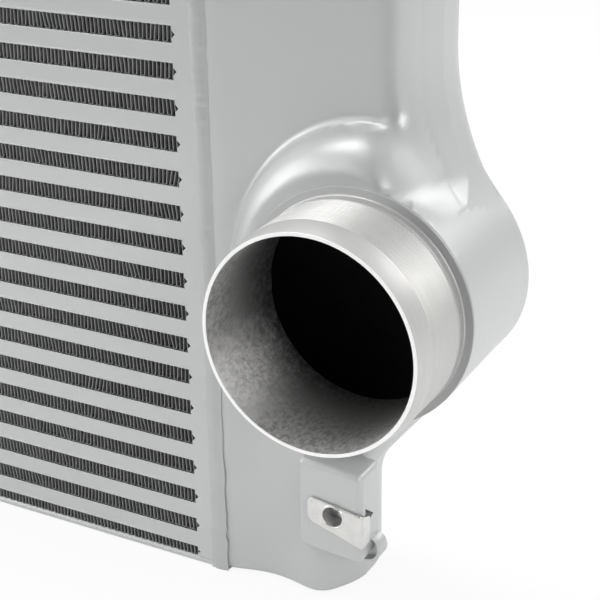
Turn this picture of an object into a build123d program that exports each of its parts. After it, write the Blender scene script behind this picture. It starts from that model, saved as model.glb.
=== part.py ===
from build123d import *
import math
import os

os.makedirs("parts", exist_ok=True)

# Core: cooling rows and charge tubes stacked in turn, all lengths in millimetres
fin_length = 657.0
core_depth = 50.8
core_height = 325.94
row_count = 26
tube_height = 6.86
end_row_height = 4.34
side_plate_thickness = 2.8
side_plate_edge = 0.8
fold_count = 11
fold_sheet = 0.9
fin_setback = 0.4
parting_sheet = 0.7
long_bar_width = 5.0
channel_count = 3
turbulator_sheet = 0.9
turbulator_lean = 62.0
closing_bar_length = 9.0
closing_groove_depth = 1.35
closing_lip = 1.55

# Weld between the core and each tank
weld_leg = 4.0
weld_depth = 2.0
weld_crown = 0.5

# End tank
tank_reach = 80.5
tank_wall = 4.0
tank_flank_flat = 6.8
cavity_bevel_share = 0.72
column_inset = 27.0
drum_radius = 41.1
drum_back_radius = 39.3
drum_inset = 12.7
drum_z = 129.4
drum_rise = 17.9
flare_radius_upper = 85.0
flare_radius_lower = 30.0
slope_turn = 38.0

# Dome that carries the neck
dome_radius = 57.0
shoulder_radius = 43.5
dome_bulge = 3.2
dome_inner_rise = 7.0
dome_inner_radius = 37.6

# Valley that fades up the front wall beside the narrow column
valley_radius = 35.0
valley_depth = 5.0
valley_x = 22.75
valley_height = 105.0

# Hose neck
neck_radius = 38.1
neck_rim_radius = 36.9
bore_radius = 35.6
neck_length = 50.8
lead_in_length = 8.0

# Bracket block, its tab, slot and ledge
block_overhang = 10.45
block_width = 25.7
block_bottom = 23.3
block_height = 36.6
block_rise = 5.0
block_depth = 15.5
block_edge = 2.2
tab_thickness = 5.0
slot_width = 5.5
slot_length = 18.5
slot_bottom = 29.0
slot_height = 19.5
ledge_radius = 6.8
ledge_recess_radius = 5.2
ledge_recess_depth = 3.4
ledge_overhang = 8.95
ledge_z = 24.5
ledge_setback = 3.0

# Clip nut
clip_sheet = 1.0
clip_length = 21.0
clip_back_length = 17.5
clip_root_width = 13.2
clip_end_width = 9.8
clip_root_z = 37.3
clip_end_rise = 5.0
clip_corner = 1.6
clip_hole_radius = 3.8
clip_hole_play = 0.4
clip_thread_radius = 2.5
clip_hole_reach = 11.0
clip_barrel_radius = 4.6
clip_barrel_length = 4.0
clip_bend = 0.3
clip_clearance = 0.15

# Edges nearer than this to a line count as lying on it
near = 0.01

# Places worked out from the values above
first_tube_z = side_plate_thickness + end_row_height
row_pitch = (core_height - 2 * first_tube_z - tube_height) / (row_count - 2)
fin_height = row_pitch - tube_height
seam_x = fin_length / 2 + closing_bar_length
front_y = -core_depth / 2
tank_edge_radius = (core_depth - tank_flank_flat) / 2
cavity_bevel = cavity_bevel_share * (tank_edge_radius - tank_wall)
tank_nose_x = seam_x + tank_reach
tank_column_x = tank_nose_x - column_inset
neck_x = tank_nose_x - drum_inset
drum_front_y = front_y - drum_rise
block_front_y = front_y - block_rise
block_right_x = tank_column_x + block_overhang
ledge_x = tank_column_x + ledge_overhang
clip_hole_x = block_right_x - clip_hole_reach
clip_hole_z = clip_root_z + clip_end_rise * clip_hole_reach / clip_length


def facing_front(y):
    """Plane at depth y, drawn as seen from the front, with its normal towards the viewer."""
    return Plane(origin=(0, y, 0), x_dir=(1, 0, 0), z_dir=(0, -1, 0))


def on_circle(centre, radius, angle):
    """Point of a circle in the front view, angle in radians from the right."""
    return (centre[0] + radius * math.cos(angle), centre[1] + radius * math.sin(angle))


def tank_outline(inset):
    """Front view of the tank: upright nose, hollow flare, round drum, slope, hollow flare, narrow column."""
    nose_x = tank_nose_x - inset
    column_x = tank_column_x - inset
    radius = drum_back_radius - inset
    upper = flare_radius_upper + inset
    lower = flare_radius_lower + inset
    centre = (neck_x, drum_z)
    upper_turn = math.acos((nose_x + upper - neck_x) / (radius + upper))
    slope = math.radians(slope_turn)
    upper_centre = on_circle(centre, radius + upper, upper_turn)
    # The slope touches the drum from below, and the lower flare touches both the slope and the column
    drop = (radius + lower - (column_x + lower - neck_x) * math.cos(slope)) / math.sin(slope)
    lower_centre = (column_x + lower, drum_z - drop)
    slope_foot = on_circle(lower_centre, lower, math.pi - slope)
    slope_touch = on_circle(centre, radius, -slope)
    upper_touch = on_circle(centre, radius, upper_turn)
    start_x = seam_x - inset
    top_z = core_height - inset
    with BuildSketch(Plane.XY) as outline:
        with BuildLine():
            Polyline((column_x, lower_centre[1]), (column_x, inset), (start_x, inset),
                     (start_x, top_z), (nose_x, top_z), (nose_x, upper_centre[1]))
            ThreePointArc((nose_x, upper_centre[1]),
                          on_circle(upper_centre, upper, math.pi + upper_turn / 2), upper_touch)
            ThreePointArc(upper_touch, on_circle(centre, radius, (upper_turn - slope) / 2), slope_touch)
            Line(slope_touch, slope_foot)
            ThreePointArc(slope_foot, on_circle(lower_centre, lower, math.pi - slope / 2),
                          (column_x, lower_centre[1]))
        make_face()
    return outline.sketch


def dome_form(inset, rise, top_radius, bulge):
    """Low dome round the neck's axis, trimmed by the tank's own outline; without bulge it is a cone."""
    foot_radius = dome_radius - inset
    foot_y = front_y + inset
    top_y = front_y - rise
    middle_x = neck_x + (foot_radius + top_radius) / 2 + bulge
    middle_y = (foot_y + top_y) / 2 - bulge
    with BuildPart() as dome:
        with BuildSketch(Plane.XY.offset(drum_z)):
            with BuildLine():
                Polyline((neck_x + foot_radius, foot_y), (neck_x + foot_radius, 0), (neck_x, 0),
                         (neck_x, top_y), (neck_x + top_radius, top_y))
                if bulge > 0:
                    ThreePointArc((neck_x + top_radius, top_y), (middle_x, middle_y),
                                  (neck_x + foot_radius, foot_y))
                else:
                    Line((neck_x + top_radius, top_y), (neck_x + foot_radius, foot_y))
            make_face()
        revolve(axis=Axis((neck_x, 0, drum_z), (0, 1, 0)))
        with BuildSketch(facing_front(top_y)):
            add(tank_outline(inset))
        extrude(amount=top_y, mode=Mode.INTERSECT)
    return dome.part


def valley_form(margin):
    """Round bar leaning back from the front wall, which hollows the wall less and less as it rises."""
    foot = (seam_x + valley_x, front_y + valley_depth - valley_radius, 0)
    lean = Plane(origin=foot, x_dir=(1, 0, 0), z_dir=(0, -valley_depth, valley_height))
    with BuildPart() as bar:
        with BuildSketch(lean.offset(-valley_depth)):
            Circle(valley_radius + margin)
        extrude(amount=valley_height + 2 * valley_depth)
    return bar.part


def tank_form(inset):
    """Closed body of the tank without neck and bracket; an inset gives the space inside it."""
    half_depth = core_depth / 2 - inset
    with BuildPart() as form:
        with BuildSketch(facing_front(-half_depth)):
            add(tank_outline(inset))
        extrude(amount=-2 * half_depth)
        flank = form.edges().filter_by(lambda edge: edge.center().X > tank_column_x - inset - near)
        rims = flank.filter_by(lambda edge: abs(abs(edge.center().Y) - half_depth) < near)
        if inset == 0:
            fillet(rims, radius=tank_edge_radius)
        else:
            chamfer(rims, length=cavity_bevel)
        add(valley_form(inset), mode=Mode.SUBTRACT)
        # Drum, whose side stays straight in front of the rounded back
        with BuildSketch(facing_front(-half_depth)):
            with Locations((neck_x, drum_z)):
                Circle(drum_back_radius - inset)
        extrude(amount=-(2 * half_depth - tank_edge_radius + inset))
    return form.part


def drum_form():
    """Front of the drum, faced off square, its side drawn in a little towards the tank."""
    with BuildPart() as drum:
        with BuildSketch(Plane.XY.offset(drum_z)):
            with BuildLine():
                Polyline((neck_x, drum_front_y), (neck_x + drum_radius, drum_front_y),
                         (neck_x + drum_back_radius, front_y), (neck_x, front_y), close=True)
            make_face()
        revolve(axis=Axis((neck_x, 0, drum_z), (0, 1, 0)))
    return drum.part


def neck_form():
    """Turned hose neck with a tapered lead-in, round the drum's axis, bored out later."""
    rim_y = front_y - neck_length
    with BuildPart() as neck:
        with BuildSketch(Plane.XY.offset(drum_z)):
            with BuildLine():
                Polyline((neck_x, rim_y), (neck_x + neck_rim_radius, rim_y),
                         (neck_x + neck_radius, rim_y + lead_in_length),
                         (neck_x + neck_radius, front_y), (neck_x, front_y), close=True)
            make_face()
        revolve(axis=Axis((neck_x, 0, drum_z), (0, 1, 0)))
    return neck.part


def bracket_form():
    """Block under the neck with its free tab at the right, and the small cupped ledge beside it."""
    block_back_y = block_front_y + block_depth
    ledge_y = front_y + ledge_setback
    with BuildPart() as bracket:
        with BuildSketch(facing_front(block_front_y)):
            with Locations((block_right_x - block_width, block_bottom)):
                Rectangle(block_width, block_height, align=(Align.MIN, Align.MIN))
        extrude(amount=-block_depth)
        fillet(bracket.faces().sort_by(Axis.Y)[0].edges(), radius=block_edge)
        with BuildSketch(facing_front(block_front_y + tab_thickness)):
            with Locations((block_right_x, slot_bottom)):
                Rectangle(slot_length, slot_height, align=(Align.MAX, Align.MIN))
        extrude(amount=-slot_width, mode=Mode.SUBTRACT)
        with BuildSketch(facing_front(block_front_y)):
            with Locations((clip_hole_x, clip_hole_z)):
                Circle(clip_hole_radius + clip_hole_play)
        extrude(amount=-tab_thickness, mode=Mode.SUBTRACT)
        with BuildSketch(facing_front(ledge_y)):
            with Locations((ledge_x, ledge_z)):
                Circle(ledge_radius)
        extrude(amount=ledge_y - block_back_y)
        with BuildSketch(facing_front(ledge_y)):
            with Locations((ledge_x, ledge_z)):
                Circle(ledge_recess_radius)
        extrude(amount=-ledge_recess_depth, mode=Mode.SUBTRACT)
    return bracket.part


# Weld bead round the seam at the right, laid in a groove of the tank's edge and flush above and below
with BuildPart() as weld_bead_right:
    with BuildLine(Plane.YZ.offset(seam_x)) as seam_line:
        Polyline((0, 0), (front_y, 0), (front_y, core_height), (-front_y, core_height),
                 (-front_y, 0), close=True)
    with BuildSketch(Plane(origin=(seam_x, 0, 0), x_dir=(1, 0, 0), z_dir=(0, 1, 0))):
        with BuildLine():
            Polyline((0, -weld_depth), (weld_leg, 0), (weld_leg / 2, weld_crown),
                     (0, weld_crown / 2), close=True)
        make_face()
    sweep(path=seam_line.line, transition=Transition.RIGHT)
    with BuildSketch(Plane.XY):
        with Locations((seam_x, 0)):
            Rectangle(2 * weld_leg, core_depth + 2 * weld_crown)
    extrude(amount=core_height, mode=Mode.INTERSECT)

# End tank at the right, one casting with its neck and bracket, open towards the core
with BuildPart() as end_tank_right:
    add(tank_form(0))
    add(dome_form(0, drum_rise, shoulder_radius, dome_bulge))
    add(drum_form())
    add(neck_form())
    add(bracket_form())
    add(tank_form(tank_wall), mode=Mode.SUBTRACT)
    add(dome_form(tank_wall, dome_inner_rise, dome_inner_radius, 0), mode=Mode.SUBTRACT)
    with BuildSketch(facing_front(front_y - neck_length)):
        with Locations((neck_x, drum_z)):
            Circle(bore_radius)
    extrude(amount=-neck_length, mode=Mode.SUBTRACT)
    add(weld_bead_right.part, mode=Mode.SUBTRACT)

# Left end, the mirror image of the right one
with BuildPart() as end_tank_left:
    mirror(end_tank_right.part, about=Plane.YZ)
with BuildPart() as weld_bead_left:
    mirror(weld_bead_right.part, about=Plane.YZ)

# Clip nut, a strip folded round the tab's edge, with a tapped barrel on its hidden leg
with BuildPart() as clip_nut:
    outer_front_y = block_front_y - clip_clearance - clip_sheet
    outer_back_y = block_front_y + tab_thickness + clip_clearance + clip_sheet
    fold_x = block_right_x + clip_clearance + clip_sheet
    with BuildSketch(Plane.XY.offset(clip_root_z - clip_root_width)):
        with Locations(((fold_x + block_right_x - clip_length) / 2, (outer_front_y + outer_back_y) / 2)):
            Rectangle(fold_x - block_right_x + clip_length, outer_back_y - outer_front_y)
    extrude(amount=2 * clip_root_width)
    fillet(clip_nut.edges().filter_by(Axis.Z).group_by(Axis.X)[-1], radius=clip_bend + clip_sheet)
    with BuildSketch(Plane.XY.offset(clip_root_z - clip_root_width)) as clip_inside:
        with Locations(((fold_x - clip_sheet + block_right_x - clip_length) / 2 - clip_sheet,
                        (outer_front_y + outer_back_y) / 2)):
            Rectangle(fold_x - block_right_x + clip_length + clip_sheet,
                      outer_back_y - outer_front_y - 2 * clip_sheet)
        fillet(clip_inside.vertices().group_by(Axis.X)[-1], radius=clip_bend)
    extrude(amount=2 * clip_root_width, mode=Mode.SUBTRACT)
    # Both legs narrow and climb towards their free end
    with BuildSketch(facing_front(outer_front_y)) as clip_face:
        with BuildLine():
            Polyline((fold_x, clip_root_z - clip_root_width / 2),
                     (block_right_x, clip_root_z - clip_root_width / 2),
                     (block_right_x - clip_length, clip_root_z + clip_end_rise - clip_end_width / 2),
                     (block_right_x - clip_length, clip_root_z + clip_end_rise + clip_end_width / 2),
                     (block_right_x, clip_root_z + clip_root_width / 2),
                     (fold_x, clip_root_z + clip_root_width / 2), close=True)
        make_face()
        chamfer(clip_face.vertices().group_by(Axis.X)[0], length=clip_corner)
    extrude(amount=outer_front_y - outer_back_y, mode=Mode.INTERSECT)
    with BuildSketch(facing_front(outer_back_y - clip_sheet)):
        with Locations((block_right_x - clip_back_length, clip_root_z)):
            Rectangle(clip_length, 2 * clip_root_width, align=(Align.MAX, Align.CENTER))
    extrude(amount=-clip_sheet, mode=Mode.SUBTRACT)
    with BuildSketch(facing_front(outer_back_y)):
        with Locations((clip_hole_x, clip_hole_z)):
            Circle(clip_barrel_radius)
    extrude(amount=-clip_barrel_length)
    with BuildSketch(facing_front(outer_front_y)):
        with Locations((clip_hole_x, clip_hole_z)):
            Circle(clip_hole_radius)
    extrude(amount=-clip_sheet, mode=Mode.SUBTRACT)
    with BuildSketch(facing_front(outer_back_y - clip_sheet)):
        with Locations((clip_hole_x, clip_hole_z)):
            Circle(clip_thread_radius)
    extrude(amount=-(clip_sheet + clip_barrel_length), mode=Mode.SUBTRACT)
with BuildPart() as clip_nuts:
    add(clip_nut.part)
    mirror(clip_nut.part, about=Plane.YZ)

# Side plates that close the stack above and below
with BuildPart() as side_plate_bottom:
    with BuildSketch(Plane.YZ.offset(-seam_x)) as plate_section:
        Rectangle(core_depth, side_plate_thickness, align=(Align.CENTER, Align.MIN))
        chamfer(plate_section.vertices().group_by(Axis.Z)[0], length=side_plate_edge)
    extrude(amount=2 * seam_x)
with BuildPart() as side_plate_top:
    mirror(side_plate_bottom.part, about=Plane.XY.offset(core_height / 2))


def row_place(index):
    """Foot and height of a cooling row; the two outermost rows are lower than the rest."""
    if index == 0:
        return side_plate_thickness, end_row_height
    foot = first_tube_z + tube_height + (index - 1) * row_pitch
    return foot, end_row_height if index == row_count - 1 else fin_height


def fin_strip(foot, height):
    """Strip folded up and down between two tubes, its crests lying on them."""
    fold_points = []
    for crease in range(2 * fold_count + 1):
        rise = height - fold_sheet if crease % 2 else 0
        fold_points.append((crease * fin_length / (2 * fold_count) - fin_length / 2, foot + rise))
    upper_points = [(x, z + fold_sheet) for x, z in fold_points]
    with BuildPart() as strip:
        with BuildSketch(facing_front(front_y + fin_setback)):
            with BuildLine():
                Polyline(*fold_points, *reversed(upper_points), close=True)
            make_face()
        extrude(amount=2 * fin_setback - core_depth)
    return strip.part


def closing_bars(side):
    """Short bars that shut the cooling rows at one end, each with a V groove towards its fins."""
    with BuildPart() as bars:
        with BuildSketch(facing_front(front_y)):
            for index in range(row_count):
                foot, height = row_place(index)
                inner_x = side * fin_length / 2
                groove_x = inner_x + side * closing_groove_depth
                with BuildLine():
                    Polyline((inner_x, foot), (inner_x, foot + closing_lip),
                             (groove_x, foot + height / 2), (inner_x, foot + height - closing_lip),
                             (inner_x, foot + height), (side * seam_x, foot + height),
                             (side * seam_x, foot), close=True)
                make_face()
        extrude(amount=-core_depth)
    return bars.part


def channel_corners(index, foot):
    """Cross-section of one air channel between two leaning walls of the folded strip in a tube."""
    inside_width = core_depth - 2 * long_bar_width
    half_height = tube_height / 2 - parting_sheet
    shift = half_height / math.tan(math.radians(turbulator_lean))
    middle_z = foot + tube_height / 2
    walls = []
    for wall, towards in ((index, 1), (index + 1, -1)):
        y = wall * inside_width / channel_count - inside_width / 2
        if 0 < wall < channel_count:
            lean = shift if wall % 2 else -shift
            y += towards * turbulator_sheet / 2
        else:
            lean = 0
        walls.append(((y - lean, middle_z - half_height), (y + lean, middle_z + half_height)))
    (low_a, high_a), (low_b, high_b) = walls
    return low_a, low_b, high_b, high_a


def charge_tube(foot):
    """Flat tube from tank to tank: two sheets, two long bars and the folded strip, brazed together."""
    with BuildPart() as tube:
        with BuildSketch(Plane.YZ.offset(-seam_x)):
            with Locations((0, foot)):
                Rectangle(core_depth, tube_height, align=(Align.CENTER, Align.MIN))
            for index in range(channel_count):
                with BuildLine():
                    Polyline(*channel_corners(index, foot), close=True)
                make_face(mode=Mode.SUBTRACT)
        extrude(amount=2 * seam_x)
    return tube.part


finished = {
    "end_tank_right": end_tank_right.part,
    "end_tank_left": end_tank_left.part,
    "weld_bead_right": weld_bead_right.part,
    "weld_bead_left": weld_bead_left.part,
    "clip_nuts": clip_nuts.part,
    "side_plate_bottom": side_plate_bottom.part,
    "side_plate_top": side_plate_top.part,
    "closing_bars_right": closing_bars(1),
    "closing_bars_left": closing_bars(-1),
}
for index in range(row_count):
    finished[f"fin_row_{index + 1:02d}"] = fin_strip(*row_place(index))
for index in range(row_count - 1):
    finished[f"charge_tube_{index + 1:02d}"] = charge_tube(first_tube_z + index * row_pitch)

for name, piece in finished.items():
    piece.label = name
    export_step(piece, f"parts/{name}.step")
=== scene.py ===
from math import cos, radians, sin
import bmesh
import bpy
import numpy as np
from mathutils import Matrix, Vector


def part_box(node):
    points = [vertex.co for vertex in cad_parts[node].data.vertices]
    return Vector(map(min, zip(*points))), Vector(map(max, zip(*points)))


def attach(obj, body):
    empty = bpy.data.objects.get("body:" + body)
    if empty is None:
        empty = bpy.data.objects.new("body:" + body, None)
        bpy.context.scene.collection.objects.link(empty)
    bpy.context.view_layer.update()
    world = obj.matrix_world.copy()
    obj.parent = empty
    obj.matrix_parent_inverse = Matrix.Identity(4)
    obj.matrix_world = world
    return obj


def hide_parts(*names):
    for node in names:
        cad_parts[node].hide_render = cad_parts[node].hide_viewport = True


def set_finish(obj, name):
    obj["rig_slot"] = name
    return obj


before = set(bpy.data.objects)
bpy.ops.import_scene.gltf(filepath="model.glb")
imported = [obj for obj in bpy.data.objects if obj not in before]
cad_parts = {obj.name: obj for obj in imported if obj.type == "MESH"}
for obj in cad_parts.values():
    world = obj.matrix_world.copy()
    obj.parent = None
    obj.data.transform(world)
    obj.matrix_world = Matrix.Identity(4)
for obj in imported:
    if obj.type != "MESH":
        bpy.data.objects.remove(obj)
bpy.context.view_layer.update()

# ---------------------------------------------------------------------------------------------------------
# Studio: a pale floor that runs on without an end, soft boxes above, at the left, in front, at the right and
# behind, and the dim side of the room behind the camera, which stands a little to the right and looks down.


class Value:
    """A socket used like a number: each sign between two of them adds its Math node."""

    def __init__(self, shader, socket):
        self.shader = shader
        self.socket = socket

    def sign(self, operation, first, second):
        return self.shader.node("Math", {"operation": operation}, {0: first, 1: second})

    def __add__(self, other):
        return self.sign("ADD", self, other)

    def __radd__(self, other):
        return self.sign("ADD", other, self)

    def __sub__(self, other):
        return self.sign("SUBTRACT", self, other)

    def __rsub__(self, other):
        return self.sign("SUBTRACT", other, self)

    def __mul__(self, other):
        return self.sign("MULTIPLY", self, other)

    def __rmul__(self, other):
        return self.sign("MULTIPLY", other, self)

    def __pow__(self, other):
        return self.sign("POWER", self, other)


class Shader:
    """The nodes of one material or of the world. One method adds any node, another mixes two colours."""

    def __init__(self, owner):
        owner.use_nodes = True
        self.tree = owner.node_tree
        self.tree.nodes.clear()

    def node(self, kind, settings=None, sockets=None, output=0):
        made = self.tree.nodes.new("ShaderNode" + kind)
        for name, value in (settings or {}).items():
            if name == "stops":
                for place, level in value[1:]:
                    made.color_ramp.elements.new(place).color = (level, level, level, 1)
                made.color_ramp.elements.remove(made.color_ramp.elements[-1])
                made.color_ramp.elements[0].position = value[0][0]
                made.color_ramp.elements[0].color = (value[0][1],) * 3 + (1,)
            else:
                setattr(made, name, value)
        for name, value in (sockets or {}).items():
            if isinstance(value, Value):
                self.tree.links.new(value.socket, made.inputs[name])
            else:
                made.inputs[name].default_value = value
        return Value(self, made.outputs[output]) if made.outputs else None

    def mixed(self, factor, first, second):
        return self.node("Mix", {"data_type": "RGBA"}, {0: factor, 6: first, 7: second}, 2)

    def noise(self, place, scale, detail=2.0, rough=0.5):
        return self.node("TexNoise", {}, {
            "Vector": place, "Scale": scale, "Detail": detail, "Roughness": rough})

    def axis(self, place, number):
        return self.node("SeparateXYZ", {}, {0: place}, number)

    def ramp(self, value, start, stop, low=0.0, high=1.0):
        """Goes from low at start to high at stop, softly, and stays there on both sides."""
        return self.node("MapRange", {"interpolation_type": "SMOOTHSTEP"},
                         {"Value": value, "From Min": start, "From Max": stop, "To Min": low, "To Max": high})

    def end(self, kind, surface):
        self.node(kind, {}, {"Surface": surface})


scene = bpy.context.scene
camera_place = Vector((0.5965, -0.4258, 0.3162))
camera_yaw, camera_pitch, camera_roll = radians(28.884), radians(23.220), radians(-1.052)
ahead = Vector((-sin(camera_yaw) * cos(camera_pitch), cos(camera_yaw) * cos(camera_pitch),
                -sin(camera_pitch)))
level = Vector((cos(camera_yaw), sin(camera_yaw), 0))
upward = level.cross(ahead)
across = cos(camera_roll) * level + sin(camera_roll) * upward
upright = cos(camera_roll) * upward - sin(camera_roll) * level
camera_data = bpy.data.cameras.new("camera")
camera_data.lens = 87.186
camera_data.sensor_width = 36.0
camera_data.clip_start = 0.01
camera = bpy.data.objects.new("camera", camera_data)
camera_turn = Matrix((across, upright, -ahead)).transposed()
camera.matrix_world = Matrix.Translation(camera_place) @ camera_turn.to_4x4()
scene.collection.objects.link(camera)
scene.camera = camera
scene.view_settings.view_transform = "Standard"

world = bpy.data.worlds.new("studio")
scene.world = world
room = Shader(world)
room_direction = room.node("TexCoord", {}, {}, 0)
towards_camera = room.node("VectorMath", {"operation": "DOT_PRODUCT"},
                           {0: room_direction, 1: tuple(-ahead)}, 1)
dimness = room.node("ValToRGB", {"stops": [(0.45, 0.68), (0.8, 0.3), (0.97, 0.06)]}, {"Fac": towards_camera})
seen = room.node("LightPath", {}, {}, 0)
room.end("OutputWorld", room.node("Background", {}, {
    "Color": room.mixed(seen, dimness, (1, 1, 1, 1)), "Strength": 1.0}))


def soft_box(name, place, size, power):
    """A square soft box at a place, turned towards the lit middle."""
    data = bpy.data.lights.new(name, "AREA")
    data.shape = "SQUARE"
    data.size = size
    data.energy = power
    lamp = bpy.data.objects.new(name, data)
    lamp.location = place
    lamp.rotation_euler = (lit_middle - Vector(place)).to_track_quat("-Z", "Y").to_euler()
    scene.collection.objects.link(lamp)


lit_middle = Vector((0.33, 0.0, 0.16))
soft_box("box_above", (-0.15, 0.12, 1.30), 0.75, 12.0)
soft_box("box_left", (-1.00, -0.42, 0.60), 0.8, 6.5)
soft_box("box_front", (-0.20, -1.00, 0.75), 0.9, 1.8)
soft_box("box_right", (1.35, -0.60, 0.62), 0.55, 5.0)
soft_box("box_behind", (1.04, 0.95, 0.80), 0.55, 3.6)

floor_half, floor_drop = 6.0, 0.0002
paper_front, paper_fade = -0.45, 0.35
white_seen, white_mirrored = 0.88, 0.5
floor_mesh = bpy.data.meshes.new("floor")
floor_mesh.from_pydata([(-floor_half, -floor_half, 0), (floor_half, -floor_half, 0),
                        (floor_half, floor_half, 0), (-floor_half, floor_half, 0)], [], [(0, 1, 2, 3)])
floor = bpy.data.objects.new("floor", floor_mesh)
floor.location.z = -floor_drop
scene.collection.objects.link(floor)
floor_material = bpy.data.materials.new("pale_floor")
floor.data.materials.append(floor_material)
paper = Shader(floor_material)
paper_place = paper.node("TexCoord", {}, {}, 3)
paper_grain = paper.noise(paper_place, 900.0)
paper_near = paper.ramp(paper.axis(paper_place, 1), paper_front - paper_fade, paper_front)
paper_tone = paper.mixed(paper_grain, (0.86, 0.86, 0.86, 1), (0.9, 0.9, 0.9, 1))
paper_colour = paper.mixed(paper_near, (0.25, 0.25, 0.25, 1), paper_tone)
paper_matt = paper.node("BsdfDiffuse", {}, {"Color": paper_colour})
paper_white = paper.node("Emission", {}, {"Color": (1, 1, 1, 1), "Strength": 1.0})
paper_seen = paper.node("LightPath", {}, {}, 0)
paper_mirrored = paper.node("LightPath", {}, {}, 3)
paper_share = paper_seen * white_seen + paper_mirrored * paper_near * white_mirrored
paper.end("OutputMaterial", paper.node("MixShader", {}, {0: paper_share, 1: paper_matt, 2: paper_white}))

# ---------------------------------------------------------------------------------------------------------
# End tanks: one sand-cast aluminium shell each, 4 mm thick and open towards the core, with a round drum
# under the hose neck and a low dome that runs out into the flat front wall. Welded on, then painted silver.

seam_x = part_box("end_tank_right")[0][0] * 1000
tank_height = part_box("end_tank_right")[1][2] * 1000
half_depth, wall, edge_radius, end_radius = 25.4, 4.0, 22.0, 2.2
nose_x, nose_radius, nose_rise, nose_turn = 417.7, 13.5, 60.0, 6.0
nose_blend, nose_blend_start, nose_blend_depth = 9.0, 4.0, 12.0
column_x = 391.0
drum_x, drum_z, drum_radius, drum_back_radius, drum_front = 405.3, 129.4, 41.1, 39.3, 43.3
drum_taper, drum_edge, drum_rise = drum_front + half_depth - edge_radius, 0.4, drum_front - half_depth
drum_blend, drum_blend_more, drum_blend_start, drum_blend_width = 1.2, 4.0, 8.0, 15.0
drum_lean, lean_depth, lean_above, lean_below = 3.4, 58.0, 42.0, 70.0
flare_upper, flare_lower, slope = 85.0, 30.0, radians(38.0)
dome_middle, dome_depth, dome_radius, dome_edge = 37.6, 26.0, 19.0, 0.9
dome_narrow_left, dome_narrow_right, dome_turn_start, dome_turn = 2.8, 11.0, -0.1, 0.8
dome_back, dome_back_radius, dome_inset, dome_side_radius = 12.0, 2.0, 1.0, 12.0
dome_blend, dome_blend_more, dome_blend_width = 3.4, 14.0, 18.0
hollow_x, hollow_y, hollow_radius, hollow_slope, hollow_blend = 360.25, -55.4, 35.0, 5.0 / 105.0, 5.0
trough_middle, trough_width, trough_depth = 4.2, 2.2, 0.2
upper_x, lower_x = nose_x + flare_upper, column_x + flare_lower
upper_z = drum_z + ((drum_back_radius + flare_upper) ** 2 - (upper_x - drum_x) ** 2) ** 0.5
lower_z = drum_z - (drum_back_radius + flare_lower - (lower_x - drum_x) * cos(slope)) / sin(slope)


def outline_distance(x, z):
    """Front view of the tank: nose line, hollow flare, round drum, slope, hollow flare and column line, each
    the distance to its own line or circle, chosen by the side of the lines square to them where they meet."""
    upper = np.where(z > upper_z, x - nose_x, flare_upper - np.hypot(x - upper_x, z - upper_z))
    along = (x - drum_x) * sin(slope) + (z - drum_z) * cos(slope)
    slope_end = (lower_x - drum_x) * sin(slope) + (lower_z - drum_z) * cos(slope)
    sloped = (x - drum_x) * cos(slope) - (z - drum_z) * sin(slope) - drum_back_radius
    flare = np.where(z < lower_z, x - column_x, flare_lower - np.hypot(x - lower_x, z - lower_z))
    lower = np.where(along > slope_end, sloped, flare)
    drum = np.hypot(x - drum_x, z - drum_z) - drum_back_radius
    under_upper = (upper_x - drum_x) * (z - drum_z) < (upper_z - drum_z) * (x - drum_x)
    return np.where(under_upper & (along > 0), drum, np.where(z > drum_z, upper, lower))


def crossed(a, b, radius):
    """Distance to what two solids share: the larger of both, with the edge rounded to the radius."""
    a, b = a + radius, b + radius
    return np.hypot(np.maximum(a, 0), np.maximum(b, 0)) + np.minimum(np.maximum(a, b), 0) - radius


def joined(a, b, blend):
    """Distance to two solids together: the smaller of both, with a soft hollow of that width between them."""
    near = np.maximum(blend - np.abs(a - b), 0) / blend
    return np.minimum(a, b) - near ** 2 * blend / 4


def share(value, start, width):
    """How far a value has gone from the start over the width, from 0 to 1."""
    return np.clip((value - start) / width, 0, 1)


def eased(part):
    """A share from 0 to 1 with a soft start and a soft stop."""
    return part ** 2 * (3 - 2 * part)


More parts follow.
